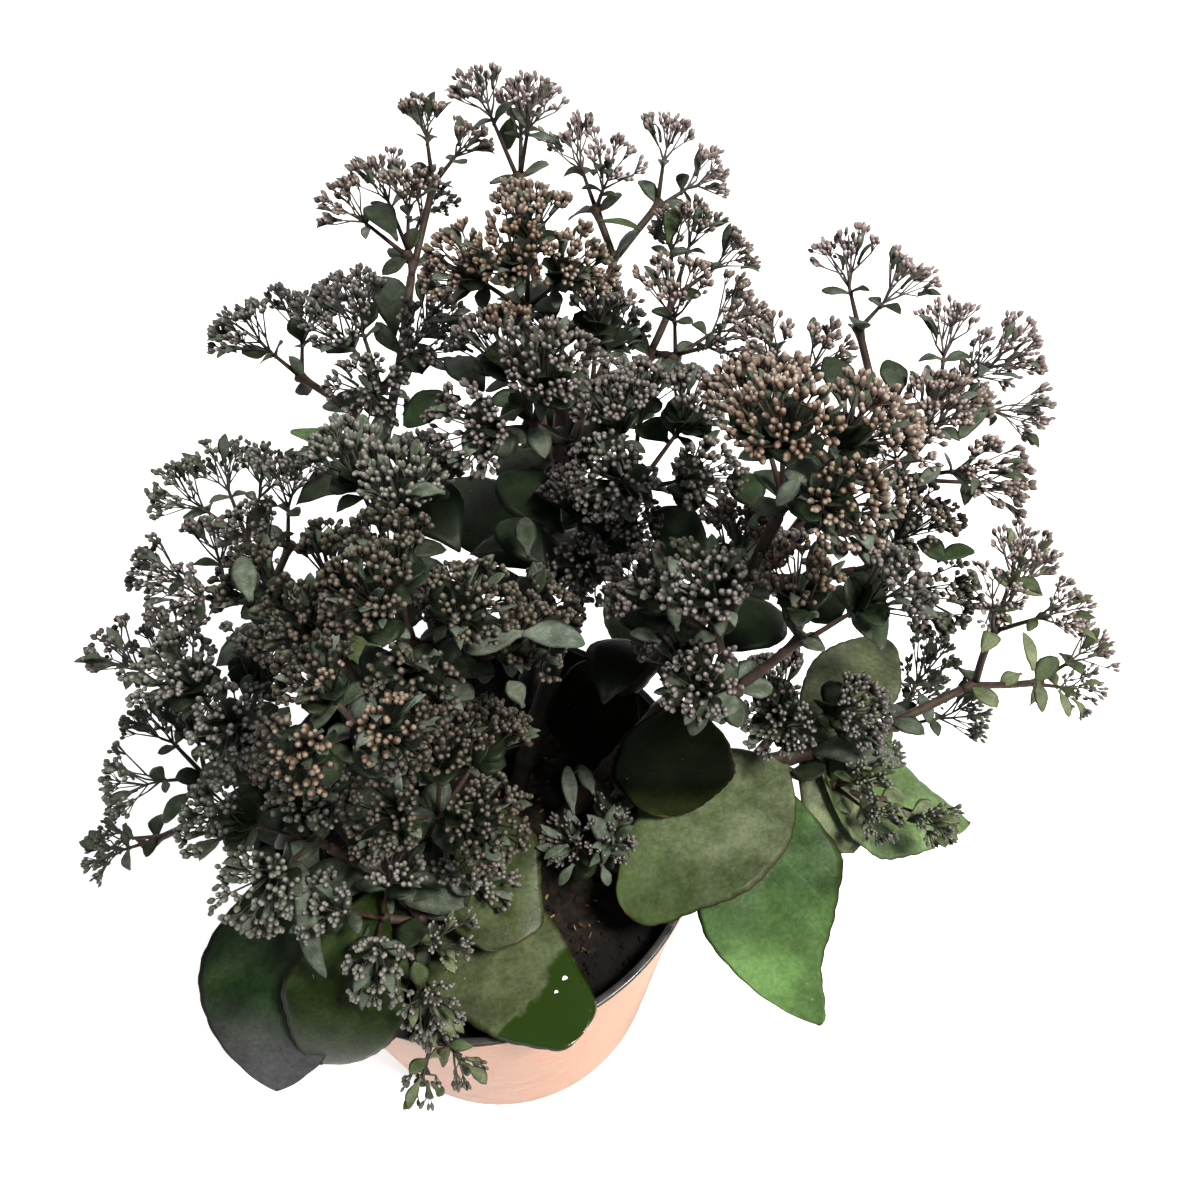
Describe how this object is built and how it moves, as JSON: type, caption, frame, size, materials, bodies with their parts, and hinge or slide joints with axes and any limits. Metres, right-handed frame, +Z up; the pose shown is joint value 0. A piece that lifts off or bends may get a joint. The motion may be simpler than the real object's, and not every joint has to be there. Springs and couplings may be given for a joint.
{
  "type": "potted plant",
  "caption": "Stonecrop in bud growing in a tapering round nursery pot: leaning stems, broad fleshy leaves and forked sprays of domed bud heads.",
  "frame": {"origin": "middle of the pot's flat foot, on the surface that it stands on", "axes": "+Z up along the pot's axis, -Y towards the viewer of the reference picture, +X to that viewer's right"},
  "size_m": [0.4795, 0.3847, 0.4195],
  "materials": {
    "pot": "moulded, terracotta outside, glossy black inside",
    "soil": "dark crumbly compost",
    "stem": "smooth, dark red-brown",
    "bud": "matte, grey-brown",
    "bud_brown": "matte, warm brown",
    "leaf_dark": "fleshy, waxy, dark green",
    "leaf_olive": "fleshy, waxy, grey-green",
    "leaf_bright": "fleshy, waxy, mid green"
  },
  "bodies": {
    "root": {"stem_top": "stem", "stem_back_left": "stem", "stem_left_back": "stem", "stem_left": "stem", "stem_front_left": "stem", "stem_front": "stem", "stem_centre": "stem", "stem_right": "stem", "stem_right_back": "stem", "stem_right_low": "stem", "spray_shoot": "bud", "spray_top": "bud", "spray_top_right": "bud", "spray_side_right": "bud", "spray_crown": "bud_brown", "spray_back_left": "bud", "spray_inner_left": "bud", "spray_far_left": "bud", "spray_mid_left": "bud", "spray_outer_left": "bud", "spray_high_left": "bud", "spray_low_left": "bud", "spray_dome_back": "bud", "spray_dome_left": "bud_brown", "spray_dome_right": "bud", "spray_front_side": "bud", "spray_front_top": "bud", "spray_front_low": "bud", "spray_front_rim": "bud", "spray_centre_back": "bud", "spray_centre": "bud", "spray_peak": "bud_brown", "spray_right_front": "bud", "spray_right_back": "bud", "spray_right_top": "bud", "spray_right_mid": "bud", "spray_far_right": "bud", "spray_low_right": "bud", "spray_low_front": "bud", "spray_near_right": "bud", "pot": "pot", "soil": "soil", "leaf_front_left_outer": "leaf_dark", "leaf_front_left_inner": "leaf_dark", "leaf_front_left_blade": "leaf_olive", "leaf_front_middle": "leaf_olive", "leaf_front_wet": "leaf_olive", "leaf_rim_right": "leaf_olive", "leaf_low_right": "leaf_bright", "leaf_side_right": "leaf_bright", "leaf_shade_right": "leaf_dark", "leaf_back_right": "leaf_olive", "leaf_shade_middle": "leaf_dark", "leaf_shade_far": "leaf_dark", "leaf_top_right": "leaf_dark", "leaf_top_left": "leaf_dark", "leaf_top_low": "leaf_dark", "leaf_left_blade": "leaf_bright", "leaf_back": "leaf_olive", "leaf_back_far_left": "leaf_olive"}
  },
  "joints": []
}
